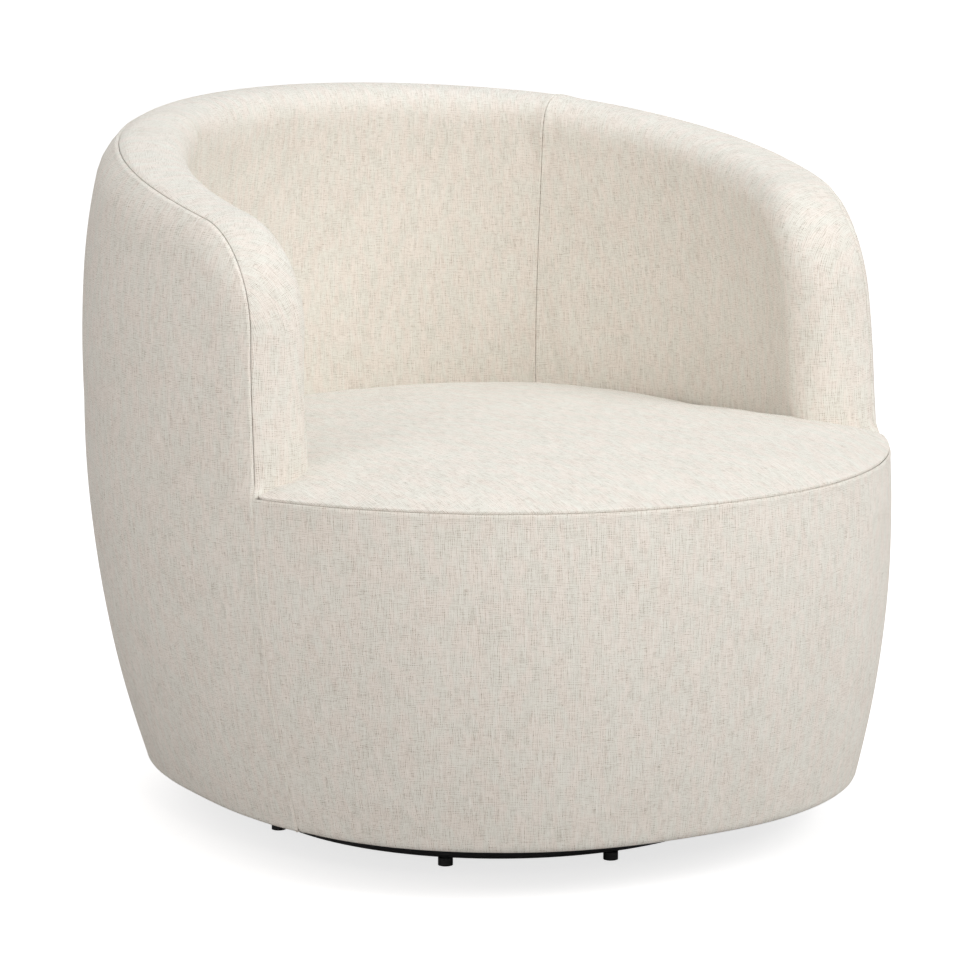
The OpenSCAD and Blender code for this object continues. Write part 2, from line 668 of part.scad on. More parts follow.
// Outer cover round the back and the sides, from the lower edge to the outer seam
module outer_cover() {
  start = full_a + seam_cut_a;
  step_z = seat_seam_z + layer_gap;
  low = side_seam_a + seam_cut_a;
  function below(f, z, inset) = skin(low + f * (360 - 2 * low), z, inset);
  function column(f, r) =
    let (a = start + f * (360 - 2 * start), side = roll_r - r, mid = rim(a) - drop_at(a, roll_r))
    concat([for (z = span_of(body_z, step_z - layer_gap, outer_rows)) below(f, z, side)],
      [for (z = span_of(step_z, mid, outer_rows)) wall(turned(a), z, side)],
      [for (k = [1:roll_steps / 2]) rolled(turned(a), (seam_turn_a - lip_turn_a) * k / (roll_steps / 2), r)]);
  color("linen") sheet_between([for (f = span_of(0, 1, outer_steps)) column(f, roll_r)],
    [for (f = span_of(0, 1, outer_steps)) column(f, cover_r)]);
}
module front_apron() {
  angles = span_of(-side_seam_a, side_seam_a, apron_steps);
  heights = span_of(body_z, seat_seam_z, apron_rows);
  color("linen") sheet_between([for (a = angles) [for (z = heights) skin(a, z, 0)]],
    [for (a = angles) [for (z = heights) skin(a, z, skin_t)]]);
}
module dust_cover() {
  color("black") translate([0, 0, board_z - dust_t]) linear_extrude(dust_t) difference() {
    barrel_outline(body_z, dust_in);
    at_axis() circle(plate_r + dust_in / 2, $fn = plate_fn);
  }
}
module cover_staples() {
  color("silver") for (k = [0:staple_n - 1])
    let (a = 360 * (k + 0.5) / staple_n, p = skin(a, body_z, dust_in + staple_w))
    translate([p[0], p[1], board_z - dust_t - staple_t]) rotate(a)
      translate([-staple_w / 2, 0, 0]) cube([staple_w, staple_t, staple_t]);
}

base_ring();
cross_arms();
base_glides();
hub_plate();
lower_race();
pivot_bolt();
pivot_washer();
pivot_nut();
ball_cage();
bearing_balls();
upper_race();
swivel_plate();
pivot_bush();
plate_bolts();
tee_nuts();
bottom_board();
lower_struts();
seat_frame();
rib_back_center();
rib_back_left();
rib_back_right();
rib_side_left();
rib_side_right();
arm_post_left();
arm_post_right();
top_rail();
front_rail();
back_webbing();
seat_springs();
spring_clips();
spring_pad();
seat_foam();
seat_cover();
back_foam();
back_cover();
arm_foam_left();
arm_foam_right();
arm_cover_left();
arm_cover_right();
arm_front_left();
arm_front_right();
outer_cover();
front_apron();
dust_cover();
cover_staples();
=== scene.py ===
import bpy, bmesh, json, math
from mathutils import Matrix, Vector, noise


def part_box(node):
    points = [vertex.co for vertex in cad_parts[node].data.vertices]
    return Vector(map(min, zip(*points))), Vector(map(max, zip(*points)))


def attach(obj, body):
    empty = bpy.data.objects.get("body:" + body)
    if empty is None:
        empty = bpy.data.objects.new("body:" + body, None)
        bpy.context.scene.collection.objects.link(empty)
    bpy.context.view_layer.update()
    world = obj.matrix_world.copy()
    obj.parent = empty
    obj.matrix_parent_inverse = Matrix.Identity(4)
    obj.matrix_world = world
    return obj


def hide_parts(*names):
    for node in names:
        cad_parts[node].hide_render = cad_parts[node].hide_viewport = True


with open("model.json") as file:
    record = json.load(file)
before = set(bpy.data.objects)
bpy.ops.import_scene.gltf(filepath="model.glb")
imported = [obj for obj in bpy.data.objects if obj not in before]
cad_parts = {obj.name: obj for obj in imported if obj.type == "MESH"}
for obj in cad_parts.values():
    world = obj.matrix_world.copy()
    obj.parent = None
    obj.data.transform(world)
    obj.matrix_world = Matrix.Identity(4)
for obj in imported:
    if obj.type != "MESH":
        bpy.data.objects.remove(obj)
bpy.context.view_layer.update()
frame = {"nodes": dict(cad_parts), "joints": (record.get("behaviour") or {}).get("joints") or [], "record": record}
print("frame loaded:", len(frame["nodes"]), "nodes")

# Sizes of the barrel in metres, as the model's source gives them; angles run from the front, 180 at the rear
barrel = dict(
    halfWidth=0.410, halfDepth=0.439, belly=0.430, edge=0.050, rim=0.735, wall=0.092,
    lowTuck=0.060, topTuck=0.047, topShare=2.5, lean=0.052, square=0.3, rimFall=0.089, fallAngle=110,
    armAngle=61.5, corner=0.098, armSkew=0.15, skewReach=0.160, skewShare=1.5, footRise=0.011, footReach=0.1,
    rollShare=2.4, seamDrop=0.009, seamShift=14, sideSeam=64.0, backSeam=131.8, backSeamTurn=31, backSeamBend=40,
    seatSeam=0.386, crown=0.4185, frontEdge=0.389, wallEdge=0.381, edgeTurn=14, crownShare=2.0,
    hemRadius=0.006, hemFabric=0.020, hemRun=0.006, hemRise=0.35)
axisY = frame["joints"][0]["pos_m"][1]
rollRadius = barrel["wall"] / 2
armArc = math.radians(1) * (barrel["halfWidth"] + barrel["halfDepth"]) / 2  # metres of wall in one degree
middle = (180 - barrel["armAngle"]) * armArc  # from the arm's front line to the middle of the back
hemEnd = barrel["edge"] - barrel["hemFabric"] + barrel["hemRadius"] * (math.pi / 2 - 1)  # along the fabric


def smooth(x):
    x = min(max(x, 0), 1)
    return x * x * (3 - 2 * x)


def blendOf(a, b, share):
    return a + (b - a) * share


def leanAt(z):
    return barrel["lean"] * (z - barrel["edge"]) / (barrel["rim"] - barrel["edge"])


def skinPoint(angle, z, inset):
    # a place on the barrel's outer skin, or that far inside it
    b = barrel
    low = (b["belly"] - z) / (b["belly"] - b["edge"])
    high = (z - b["belly"]) / (b["rim"] - b["belly"])
    tuck = b["lowTuck"] * low ** 2 if low > 0 else b["topTuck"] * high ** b["topShare"]
    power = 2 + b["square"] * max(0, low)
    s, c = math.sin(math.radians(angle)), math.cos(math.radians(angle))
    k = (abs(s) ** power + abs(c) ** power) ** (-1 / power)
    width, depth = b["halfWidth"] - tuck - inset, b["halfDepth"] - tuck - inset
    return Vector((width * s * k, axisY + leanAt(z) - depth * c * k, z))


def nearOf(x):
    # x runs from one arm's front line round to the other's; this is the distance from the nearer one
    return min(x, 2 * middle - x)


def rimAt(x):
    return barrel["rim"] - barrel["rimFall"] * ((middle - nearOf(x)) / armArc / barrel["fallAngle"]) ** 2


def backSeamAt(y):
    # how far behind the arm's front line the inner back's seam runs, at a drop y below the rim
    turn = barrel["backSeam"] - barrel["armAngle"] + barrel["backSeamTurn"] * y
    return (turn - barrel["backSeamBend"] * max(0, y) ** 2) * armArc


def wallPoint(x, z, inset):
    fade = max(0, 1 - max(0, x) / barrel["skewReach"]) ** barrel["skewShare"]
    turned = x + barrel["armSkew"] * (rollRadius - inset) * fade
    return skinPoint(barrel["armAngle"] + turned / armArc, z, inset)


def rollProfile(turn):
    # turn runs over the roll from its outer side, 0, to its inner side, 180
    # it gives the drop from the roll's top and the inset from the outer skin
    s, c = math.sin(math.radians(turn)), math.cos(math.radians(turn))
    share = 2 / barrel["rollShare"]
    return rollRadius - rollRadius * abs(s) ** share, rollRadius - rollRadius * math.copysign(abs(c) ** share, c)


rollSteps = 360
rollLengths = [0]
for step in range(rollSteps):
    a, b = rollProfile(180 * step / rollSteps), rollProfile(180 * (step + 1) / rollSteps)
    rollLengths.append(rollLengths[-1] + math.dist(a, b))
seamTurn = math.degrees(math.asin((1 - barrel["seamDrop"] / rollRadius) ** (barrel["rollShare"] / 2)))
outerArc = rollLengths[round(seamTurn / 180 * rollSteps)]  # fabric from the outer flat to the seam
innerArc = rollLengths[-1] - outerArc  # fabric from the inner flat over the roll to the seam


def rollTurn(length):
    low, high = 0, rollSteps
    while high - low > 1:
        mid = (low + high) // 2
        low, high = (mid, high) if rollLengths[mid] <= length else (low, mid)
    share = (length - rollLengths[low]) / (rollLengths[high] - rollLengths[low])
    return 180 * (low + min(share, 1)) / rollSteps


def atCorner(acrossX, acrossY, drop):
    # a drop from the arm's rounded upper corner, on the line from its centre through the given place
    k = (barrel["corner"] - drop) / math.hypot(acrossX, acrossY)
    return barrel["corner"] - acrossX * k, barrel["corner"] - acrossY * k


def clothPoint(x, y, outside):
    # x behind the arm's front line and y below the rim, both along the fabric, of the inner or the outer covering
    near = nearOf(x)
    acrossX, acrossY = barrel["corner"] - near, barrel["corner"] - y
    corner = acrossX > 0 and acrossY > 0
    past = math.hypot(acrossX, acrossY) - (barrel["corner"] - rollRadius) if corner else rollRadius - min(near, y)
    inset, px, py = (0 if outside else barrel["wall"]), near, y
    turn = 0 if outside else 180
    if past > 0:
        turn = rollTurn(past if outside else rollLengths[-1] - past)
        drop, inset = rollProfile(turn)
        if corner:
            px, py = atCorner(acrossX, acrossY, drop)
        elif near < y:
            px = drop
        else:
            py = drop
    # on the arm's front the seam lies further out than on the rim
    front = 1 if acrossX > 0 and acrossY <= 0 else smooth(math.atan2(max(0, acrossX), max(acrossY, 1e-6)) / math.pi * 2)
    if front > 0 and past > 0:
        shift = front * barrel["seamShift"]
        turn = turn * (1 - shift / seamTurn) if outside else 180 - (180 - turn) * (1 + shift / (180 - seamTurn))
        drop, inset = rollProfile(turn)
        if corner:
            px, py = atCorner(acrossX, acrossY, drop)
        else:
            px = drop
    z = rimAt(px) - py
    # the arm's foot spreads to the edge of the front, where the side seam comes up
    foot = 1 - smooth((z - barrel["seatSeam"]) / barrel["footRise"])
    if foot > 0 and near < barrel["corner"] and turn < 90:
        side = (barrel["sideSeam"] - barrel["armAngle"]) * armArc - barrel["armSkew"] * rollRadius
        if outside:
            past = max(0, near - rollRadius + outerArc)
            spreadBy = (side - (rollRadius - outerArc)) * (1 - smooth(past / barrel["footReach"]))
            px = blendOf(px, near + spreadBy, foot)
            inset = blendOf(inset, 0, foot)
        else:
            seamX, seamInset = rollProfile(seamTurn - barrel["seamShift"])
            share = (inset - seamInset) / (rollRadius - seamInset)
            px = blendOf(px, side * (px / seamX), foot)
            inset = blendOf(inset, rollRadius * share, foot)
    point = wallPoint(px, z, inset)
    if x > middle:
        point.x = -point.x
    return point


def hemmed(h):
    # height and inset of a place h along the fabric, where it turns under the bottom edge
    radius = barrel["hemRadius"]
    under = barrel["edge"] + radius - h
    if under <= 0:
        return h, 0
    turn = min(under / radius, math.pi / 2)
    run = max(0, under - radius * math.pi / 2)
    rise = min(run, barrel["hemRun"]) * barrel["hemRise"]
    return barrel["edge"] + radius - radius * math.sin(turn) + rise, radius - radius * math.cos(turn) + run


# A seam draws the cloth in, and its allowance lies under a low ridge beside it; all by the distance from the seam
seam = dict(width=0.0018, depth=0.0007, ridge=0.0010, ridgeStart=0.0008, ridgeEnd=0.007, fullBy=0.05, unevenBy=0.03)
seamSteps = [0, 0.0005, 0.0011, 0.0018, 0.0026, 0.0040, 0.0060, 0.0090, 0.0140]
hemSteps = [0, 0.006, 0.012, 0.0165, 0.0195, 0.0225, 0.0255, 0.030, 0.038, 0.050]


def seamRound(gap):
    if gap >= seam["width"]:
        return 0
    return seam["depth"] * (1 - math.sqrt(max(0, 1 - (1 - gap / seam["width"]) ** 2)))


def seamRidge(gap):
    low, high = seam["ridgeStart"], seam["ridgeEnd"]
    return seam["ridge"] * math.sin(math.pi * (gap - low) / (high - low)) ** 2 if low < gap < high else 0


def surfaceLift(point, gap, spec):
    # how far a place stands out from the plain shape: fullness, seams and the cloth's unevenness
    rise = spec["full"] * smooth(gap / seam["fullBy"]) + spec["ridge"] * seamRidge(gap) - seamRound(gap)
    wave = spec["uneven"] * noise.noise(Vector(point) / spec["waveSize"] + Vector((spec["seed"], 0, 0)))
    return rise + wave * smooth(gap / seam["unevenBy"])


def spread(start, total, end, count):
    # distances along a row: given steps at its start and at its end, even ones between
    first, last = start[-1], total - end[-1]
    inside = [first + (last - first) * k / count for k in range(1, count)]
    return start + inside + [total - e for e in reversed(end)]


def toObject(bm, name):
    mesh = bpy.data.meshes.new(name)
    bm.to_mesh(mesh)
    bm.free()
    obj = bpy.data.objects.new(name, mesh)
    bpy.context.scene.collection.objects.link(obj)
    for face in mesh.polygons:
        face.use_smooth = True
    return obj


def panelGrid(columns, rows, flatAt, placeAt):
    # A flat pattern of columns by rows, laid on the barrel; its UV map holds the pattern in metres
    bm = bmesh.new()
    bmesh.ops.create_grid(bm, x_segments=columns - 1, y_segments=rows - 1, size=1)
    uv = bm.loops.layers.uv.new("cloth")
    gap = bm.verts.layers.float.new("gap")
    flats = {}
    for vert in bm.verts:
        i = round((vert.co.x + 1) / 2 * (columns - 1))
        j = round((vert.co.y + 1) / 2 * (rows - 1))
        flat = flatAt(i, j)
        vert.co = placeAt(flat[0], flat[1])
        flats[vert], vert[gap] = flat[2:4], flat[4]
    for face in bm.faces:
        for loop in face.loops:
            loop[uv].uv = flats[loop.vert]
    return bm


def outwards(bm, wayOut):
    # turns the whole grid if its faces look away from the way out at each place
    bm.normal_update()
    if sum(face.normal.dot(wayOut(face.calc_center_median())) for face in bm.faces) < 0:
        bmesh.ops.reverse_faces(bm, faces=bm.faces)
        bm.normal_update()


swelling = dict(frames=20, quality=4, mass=0.3, stretch=25, bend=2)


def simulate(obj, pinned, pressure, cap):
    # Blender's cloth swells the closed pad; the cap keeps each point near its place
    start = [v.co.copy() for v in obj.data.vertices]
    group = obj.vertex_groups.new(name="pinned")
    group.add(pinned, 1, "REPLACE")
    cloth = obj.modifiers.new("cloth", "CLOTH")
    cloth.settings.quality = swelling["quality"]
    cloth.settings.mass = swelling["mass"]
    cloth.settings.tension_stiffness = cloth.settings.compression_stiffness = swelling["stretch"]
    cloth.settings.bending_stiffness = swelling["bend"]
    cloth.settings.vertex_group_mass = "pinned"
    cloth.settings.use_pressure = True
    cloth.settings.uniform_pressure_force = pressure
    cloth.settings.effector_weights.gravity = 0
    cloth.collision_settings.use_collision = False
    cloth.point_cache.frame_start, cloth.point_cache.frame_end = 1, swelling["frames"]
    for number in range(1, swelling["frames"] + 1):
        bpy.context.scene.frame_set(number)
    posed = obj.evaluated_get(bpy.context.evaluated_depsgraph_get()).data
    moves = [v.co - a for v, a in zip(posed.vertices, start)]
    obj.modifiers.remove(cloth)
    obj.vertex_groups.remove(group)
    bpy.context.scene.frame_set(1)
    for vert, a, move in zip(obj.data.vertices, start, moves):
        vert.co = a + move * (cap / (cap + move.length))
    print(obj.name, "swelled by up to", round(max(m.length for m in moves) * 1000, 1), "mm before the cap")


def settleOrder(bm, first, order):
    # the extrusion's own order changes from run to run, and with it what the cloth solver gives
    total = len(bm.verts)
    bm.verts.sort(key=lambda v: v[order] if v in first else v[order] + total)
    bm.verts.index_update()

    def ends(element):
        numbers = [v.index for v in element.verts]
        return min(numbers) * total + max(numbers)

    bm.edges.sort(key=ends)
    bm.faces.sort(key=ends)


def dress(obj, nodes):
    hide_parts(*nodes)
    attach(obj, "seat")
    obj.data.materials.append(linen)


def makePad(name, bm, spec, nodes):
    # gives the sewn grid its foam depth, swells it, and draws its seams in
    outwards(bm, spec["wayOut"])
    order = bm.verts.layers.int.new("order")
    gap = bm.verts.layers.float["gap"]
    for number, vert in enumerate(bm.verts):
        vert[order] = number
    normals = {v: v.normal.copy() for v in bm.verts}
    for vert, normal in normals.items():
        vert.co -= normal * spec["under"] * smooth(vert[gap] / spec["underBy"])
    bm.normal_update()
    for vert in bmesh.ops.extrude_face_region(bm, geom=bm.faces[:], use_keep_orig=True)["geom"]:
        if isinstance(vert, bmesh.types.BMVert):
            vert.co = spec["inside"](vert.co) if "inside" in spec else vert.co - vert.normal * spec["depth"]
    bmesh.ops.recalc_face_normals(bm, faces=bm.faces[:])
    settleOrder(bm, normals, order)
    outer = {v.index: (normal, v[gap]) for v, normal in normals.items()}
    pinned = [v.index for v in bm.verts if v.index not in outer or v[gap] < seam["ridgeEnd"]]
    obj = toObject(bm, name)
    simulate(obj, pinned, spec["pressure"], spec["cap"])
    for index, (normal, g) in outer.items():
        vert = obj.data.vertices[index]
        vert.co += normal * surfaceLift(vert.co, g, spec)
    sub = obj.modifiers.new("fine", "SUBSURF")
    sub.levels = sub.render_levels = 1
    dress(obj, nodes)


def makeCover(name, bm, spec, nodes):
    # a pulled-tight panel of cloth and wadding
    outwards(bm, lambda p: Vector((p.x, p.y - axisY, 0)))
    bm.normal_update()
    gap = bm.verts.layers.float["gap"]
    moves = [(vert, vert.normal * surfaceLift(vert.co, vert[gap], spec)) for vert in bm.verts]
    for vert, move in moves:
        vert.co += move
    obj = toObject(bm, name)
    wall = obj.modifiers.new("cloth and wadding", "SOLIDIFY")
    wall.thickness, wall.offset = spec["thickness"], -1
    dress(obj, nodes)


# Materials
class Wire:
    # A socket of a node tree; arithmetic on it adds Math nodes
    def __init__(self, tree, socket=None):
        self.tree, self.socket = tree, socket

    def add(self, kind, settings=None, inputs=None, out=0):
        node = self.tree.nodes.new(kind)
        for key, value in (settings or {}).items():
            setattr(node, key, value)
        for key, value in (inputs or {}).items():
            if isinstance(value, Wire):
                self.tree.links.new(value.socket, node.inputs[key])
            else:
                node.inputs[key].default_value = value
        return Wire(self.tree, node.outputs[out])

    def maths(self, operation, a, b=0.0):
        return self.add("ShaderNodeMath", {"operation": operation}, {0: a, 1: b})

    def __add__(self, other):
        return self.maths("ADD", self, other)

    def __radd__(self, other):
        return self.maths("ADD", other, self)

    def __sub__(self, other):
        return self.maths("SUBTRACT", self, other)

    def __rsub__(self, other):
        return self.maths("SUBTRACT", other, self)

    def __mul__(self, other):
        return self.maths("MULTIPLY", self, other)

    def __rmul__(self, other):
        return self.maths("MULTIPLY", other, self)

    def __truediv__(self, other):
        return self.maths("DIVIDE", self, other)

    def waves(self, period):
        # a row of rounded ridges, one in each period
        return self.maths("ABSOLUTE", self.maths("SINE", self * (math.pi / period)))

    def ramp(self, low, high, start=0.0, end=1.0):
        settings = {"interpolation_type": "SMOOTHSTEP"}
        return self.add("ShaderNodeMapRange", settings, {0: self, 1: low, 2: high, 3: start, 4: end})

    def axis(self, number):
        return self.add("ShaderNodeSeparateXYZ", {}, {0: self}, number)

    def colours(self, factor, a, b):
        return self.add("ShaderNodeMix", {"data_type": "RGBA"}, {0: factor, 6: a, 7: b}, 2)

    def noise(self, vector, scale, detail=2.0, rough=0.5, squeeze=(1, 1, 1)):
        squeezed = self.add("ShaderNodeMapping", {}, {"Vector": vector, "Scale": squeeze})
        inputs = {"Vector": squeezed, "Scale": scale, "Detail": detail, "Roughness": rough}
        return self.add("ShaderNodeTexNoise", {}, inputs)


def newMaterial(name, constants):
    material = bpy.data.materials.new(name)
    material.use_nodes = True
    shader = material.node_tree.nodes["Principled BSDF"]
    for key, value in constants.items():
        shader.inputs[key].default_value = value
    return material, Wire(material.node_tree), shader


def feed(wire, shader, key):
    wire.tree.links.new(wire.socket, shader.inputs[key])


def bump(w, shader, height, strength, distance):
    feed(w.add("ShaderNodeBump", {}, {"Strength": strength, "Distance": distance, "Height": height}), shader, "Normal")


def objectPoint(w):
    return w.add("ShaderNodeTexCoord", {}, {}, "Object")


def rgb(r, g, b):
    # an sRGB colour of 0 to 255 as a linear one
    def linear(c):
        c = c / 255
        return c / 12.92 if c <= 0.04045 else ((c + 0.055) / 1.055) ** 2.4
    return (linear(r), linear(g), linear(b), 1)


def makeLinen():
    # noise scales are per metre of cloth, across and along the pattern
    spec = dict(pale=rgb(244, 241, 234), mid=rgb(224, 217, 207), dark=rgb(199, 189, 176), pink=rgb(236, 214, 205),
                green=rgb(212, 218, 209), fleck=rgb(150, 134, 116), pitch=0.0016, sway=2.4, bump=0.85, relief=0.0005,
                warp=(1000, 50, 1), weft=(80, 1050, 1), grain=1250, warpSway=(130, 34, 1), weftSway=(34, 130, 1),
                slubs=(520, 24, 1), bars=(36, 560, 1), drift=(75, 32, 1), cloud=15)
    constants = {"Roughness": 0.92, "Specular IOR Level": 0.2, "Sheen Weight": 0.1, "Sheen Roughness": 0.5}
    material, w, shader = newMaterial("slubby linen", constants)
    uv = w.add("ShaderNodeUVMap", {"uv_map": "cloth"})

    def yarns(number, sway):
        # the faint even weave: round yarns side by side that sway a little
        turn = uv.axis(number) / spec["pitch"] + w.noise(uv, 1, 1, 0.5, sway) * spec["sway"]
        return turn.waves(1)

    # upright and level yarns, uneven along their length and wandering
    warp = w.noise(uv, 1, 3, 0.7, spec["warp"])
    weft = w.noise(uv, 1, 3, 0.7, spec["weft"])
    grain = w.noise(uv, spec["grain"], 1, 0.5)
    warpRound, weftRound = yarns(0, spec["warpSway"]), yarns(1, spec["weftSway"])
    thin = (0.5 - warp) + (0.5 - weft) + (grain - 0.5) * 1.3 - (warpRound + weftRound - 1) * 0.22
    gaps = thin.ramp(0.14, 0.34)
    slubs = w.noise(uv, 1, 2, 0.5, spec["slubs"]).ramp(0.57, 0.68)
    bars = w.noise(uv, 1, 2, 0.5, spec["bars"]).ramp(0.60, 0.71)
    drift = w.noise(uv, 1, 2, 0.5, spec["drift"])
    cloud = w.noise(uv, spec["cloud"], 2, 0.5)
    body = w.colours(0.42, w.colours(drift.ramp(0.38, 0.62), spec["pink"], spec["green"]), spec["mid"])
    light = warp * 0.9 + weft * 0.7 + grain * 0.7 + warpRound * 0.24 + weftRound * 0.14 + cloud * 0.22
    shades = w.colours(0.8, body, spec["dark"]), w.colours(0.7, body, spec["pale"])
    colour = w.colours(light.ramp(1.08, 1.62), *shades)
    colour = w.colours(slubs * 0.62, colour, spec["pale"])
    colour = w.colours(bars * 0.28, colour, spec["pale"])
    colour = w.colours(gaps * 0.74, colour, spec["fleck"])
    # painted shade: the cloth's colour darkens towards the fleck colour where it dips into a seam
    toSeam = w.add("ShaderNodeAttribute", {"attribute_name": "gap"}, {}, "Fac")
    colour = w.colours(toSeam.ramp(0.0002, 0.0012, 0.05, 0.0), colour, spec["fleck"])
    feed(colour, shader, "Base Color")
    height = warp * 0.7 + weft * 0.5 + grain * 0.6 + (warpRound + weftRound) * 0.2 + slubs * 0.5 + bars * 0.3
    bump(w, shader, height - gaps * 0.3, spec["bump"], spec["relief"])
    return material


def makePaint(name, colour, spots, rough):
    # a sprayed or moulded coat: faint mottling, fine peel and dust in its pores
    dusty = (0.30, 0.29, 0.28, 1)
    material, w, shader = newMaterial(name, {"Specular IOR Level": 0.45})
    point = objectPoint(w)
    mottle = w.noise(point, 60, 3, 0.6)
    peel = w.noise(point, 1400, 2, 0.5)
    dust = w.noise(point, 22, 4, 0.65).ramp(0.56, 0.8)
    coat = w.colours(mottle.ramp(0.3, 0.7) * 0.5, colour, spots)
    feed(w.colours(dust * 0.35, coat, dusty), shader, "Base Color")
    feed(rough + mottle * 0.12 + dust * 0.2, shader, "Roughness")
    bump(w, shader, peel, 0.25, 0.0003)
    return material


def makeSteel(name, colour, streak, rough, squeeze=(1800, 1800, 140)):
    # plated, oiled or polished metal: lines left by drawing or turning, and small dull patches
    material, w, shader = newMaterial(name, {"Metallic": 1.0})
    point = objectPoint(w)
    lines = w.noise(point, 1, 3, 0.6, squeeze)
    dull = w.noise(point, 34, 3, 0.6).ramp(0.5, 0.72)
    feed(w.colours(lines.ramp(0.35, 0.65) * 0.5 + dull * 0.4, colour, streak), shader, "Base Color")
    feed(rough + lines * 0.14 + dull * 0.18, shader, "Roughness")
    bump(w, shader, lines, 0.2, 0.0002)
    return material


def makePlywood():
    # glued sheets, every second one darker, show as bands on the edges, with sawn grain on the faces
    spec = dict(pale=(0.60, 0.44, 0.27, 1), deep=(0.40, 0.26, 0.14, 1), glue=(0.16, 0.10, 0.06, 1), sheet=0.0028)
    material, w, shader = newMaterial("birch plywood", {"Specular IOR Level": 0.3})
    point = objectPoint(w)
    grain = w.noise(point, 1, 4, 0.65, (14, 340, 340))
    pores = w.noise(point, 1, 2, 0.5, (70, 1500, 1500)).ramp(0.6, 0.75)
    layer = w.maths("SINE", point.axis(2) * (math.pi / spec["sheet"]) + grain * 0.8).ramp(0.72, 0.97)
    wood = w.colours(pores * 0.5, w.colours(grain.ramp(0.3, 0.7), spec["pale"], spec["deep"]), spec["deep"])
    feed(w.colours(layer * 0.6, wood, spec["glue"]), shader, "Base Color")
    feed(0.62 + grain * 0.2, shader, "Roughness")
    bump(w, shader, grain - layer * 0.4 - pores * 0.4, 0.35, 0.0005)
    return material


def makeWebbing():
    # ribs of black elastic with rubber threads running along it
    spec = dict(dark=(0.018, 0.018, 0.02, 1), worn=(0.085, 0.08, 0.078, 1), rib=0.0024)
    material, w, shader = newMaterial("elastic webbing", {"Roughness": 0.85, "Sheen Weight": 0.3})
    point = objectPoint(w)
    ribs = point.axis(2).waves(spec["rib"])
    fuzz = w.noise(point, 900, 2, 0.6)
    feed(w.colours(ribs * 0.6 + fuzz * 0.4, spec["dark"], spec["worn"]), shader, "Base Color")
    bump(w, shader, ribs + fuzz * 0.3, 0.6, 0.0006)
    return material


def makeFelt():
    spec = dict(dark=(0.10, 0.10, 0.11, 1), light=(0.34, 0.32, 0.30, 1))
    material, w, shader = newMaterial("grey felt", {"Roughness": 0.95, "Sheen Weight": 0.4})
    point = objectPoint(w)
    fibres = w.noise(point, 1, 4, 0.7, (520, 160, 300))
    clumps = w.noise(point, 70, 3, 0.6)
    feed(w.colours(fibres.ramp(0.35, 0.65) * 0.6 + clumps * 0.4, spec["dark"], spec["light"]), shader, "Base Color")
    bump(w, shader, fibres + clumps, 0.6, 0.001)
    return material


def makeFoam():
    spec = dict(pit=(0.50, 0.40, 0.20, 1), shade=(0.42, 0.34, 0.18, 1), skin=(0.74, 0.66, 0.44, 1), cells=700)
    material, w, shader = newMaterial("open foam", {"Roughness": 0.95})
    point = objectPoint(w)
    cells = w.add("ShaderNodeTexVoronoi", {}, {"Vector": point, "Scale": spec["cells"]})
    # painted shade: the hollows of the cells are coloured darker than the foam's skin between them
    pitShade = w.colours(w.noise(point, 12, 2, 0.5), spec["pit"], spec["shade"])
    feed(w.colours(cells.ramp(0.15, 0.5), pitShade, spec["skin"]), shader, "Base Color")
    bump(w, shader, cells, 0.5, 0.0008)
    return material


def makeDustCloth():
    # thin black spun cloth with its grid of welded dots
    spec = dict(dark=(0.012, 0.012, 0.013, 1), light=(0.060, 0.058, 0.056, 1), dots=2400)
    material, w, shader = newMaterial("spun dust cloth", {"Roughness": 0.8, "Sheen Weight": 0.2})
    point = objectPoint(w)
    rows, columns = (w.maths("SINE", point.axis(k) * spec["dots"]) for k in (0, 1))
    dots = (rows * columns).ramp(0.55, 0.85)
    fibres = w.noise(point, 420, 4, 0.7)
    feed(w.colours(fibres * 0.7 + dots * 0.3, spec["dark"], spec["light"]), shader, "Base Color")
    feed(0.86 - dots * 0.3, shader, "Roughness")
    bump(w, shader, fibres * 0.5 - dots, 0.5, 0.0004)
    return material


linen = makeLinen()
finishes = dict(
    base_paint=makePaint("charcoal powder coat", (0.030, 0.030, 0.031, 1), (0.045, 0.045, 0.047, 1), 0.42),
    glide_plastic=makePaint("black glide", (0.008, 0.008, 0.008, 1), (0.016, 0.016, 0.016, 1), 0.5),
    zinc_steel=makeSteel("zinc plated steel", (0.56, 0.57, 0.58, 1), (0.40, 0.41, 0.40, 1), 0.28),
    spring_steel=makeSteel("oiled spring wire", (0.16, 0.16, 0.17, 1), (0.08, 0.08, 0.08, 1), 0.36),
    ball_steel=makeSteel("polished balls", (0.78, 0.78, 0.79, 1), (0.66, 0.66, 0.66, 1), 0.06, (90, 90, 2600)),
    cage_brass=makeSteel("stamped brass", (0.62, 0.42, 0.16, 1), (0.42, 0.27, 0.10, 1), 0.25),
    bush_plastic=makePaint("nylon bush", (0.62, 0.58, 0.48, 1), (0.52, 0.48, 0.38, 1), 0.45),
    plywood=makePlywood(), webbing=makeWebbing(), felt=makeFelt(), foam=makeFoam(), upholstery=linen,
    dust_cloth=makeDustCloth())
for part in frame["record"]["subparts"]:
    node = bpy.data.objects.get(part["node"])
    if node:
        node.data.materials.clear()
        node.data.materials.append(finishes[part["material_slot"]])
print("finishes made:", len(finishes))


# Pieces of the upholstery. In each pattern flatAt(i, j) gives a place's x and y on the fabric, its two UV
# coordinates and its distance from the nearest seam, and placeAt puts it on the barrel.
backPad = dict(columns=64, rows=34, foot=0.362, depth=0.028, under=0.0015, underBy=0.02, pressure=3.5, cap=0.004,
               full=0, ridge=0.3, uneven=0.0007, waveSize=0.09, seed=3.0,
               wayOut=lambda p: Vector((-p.x, axisY - 0.1 - p.y, 0.12)))


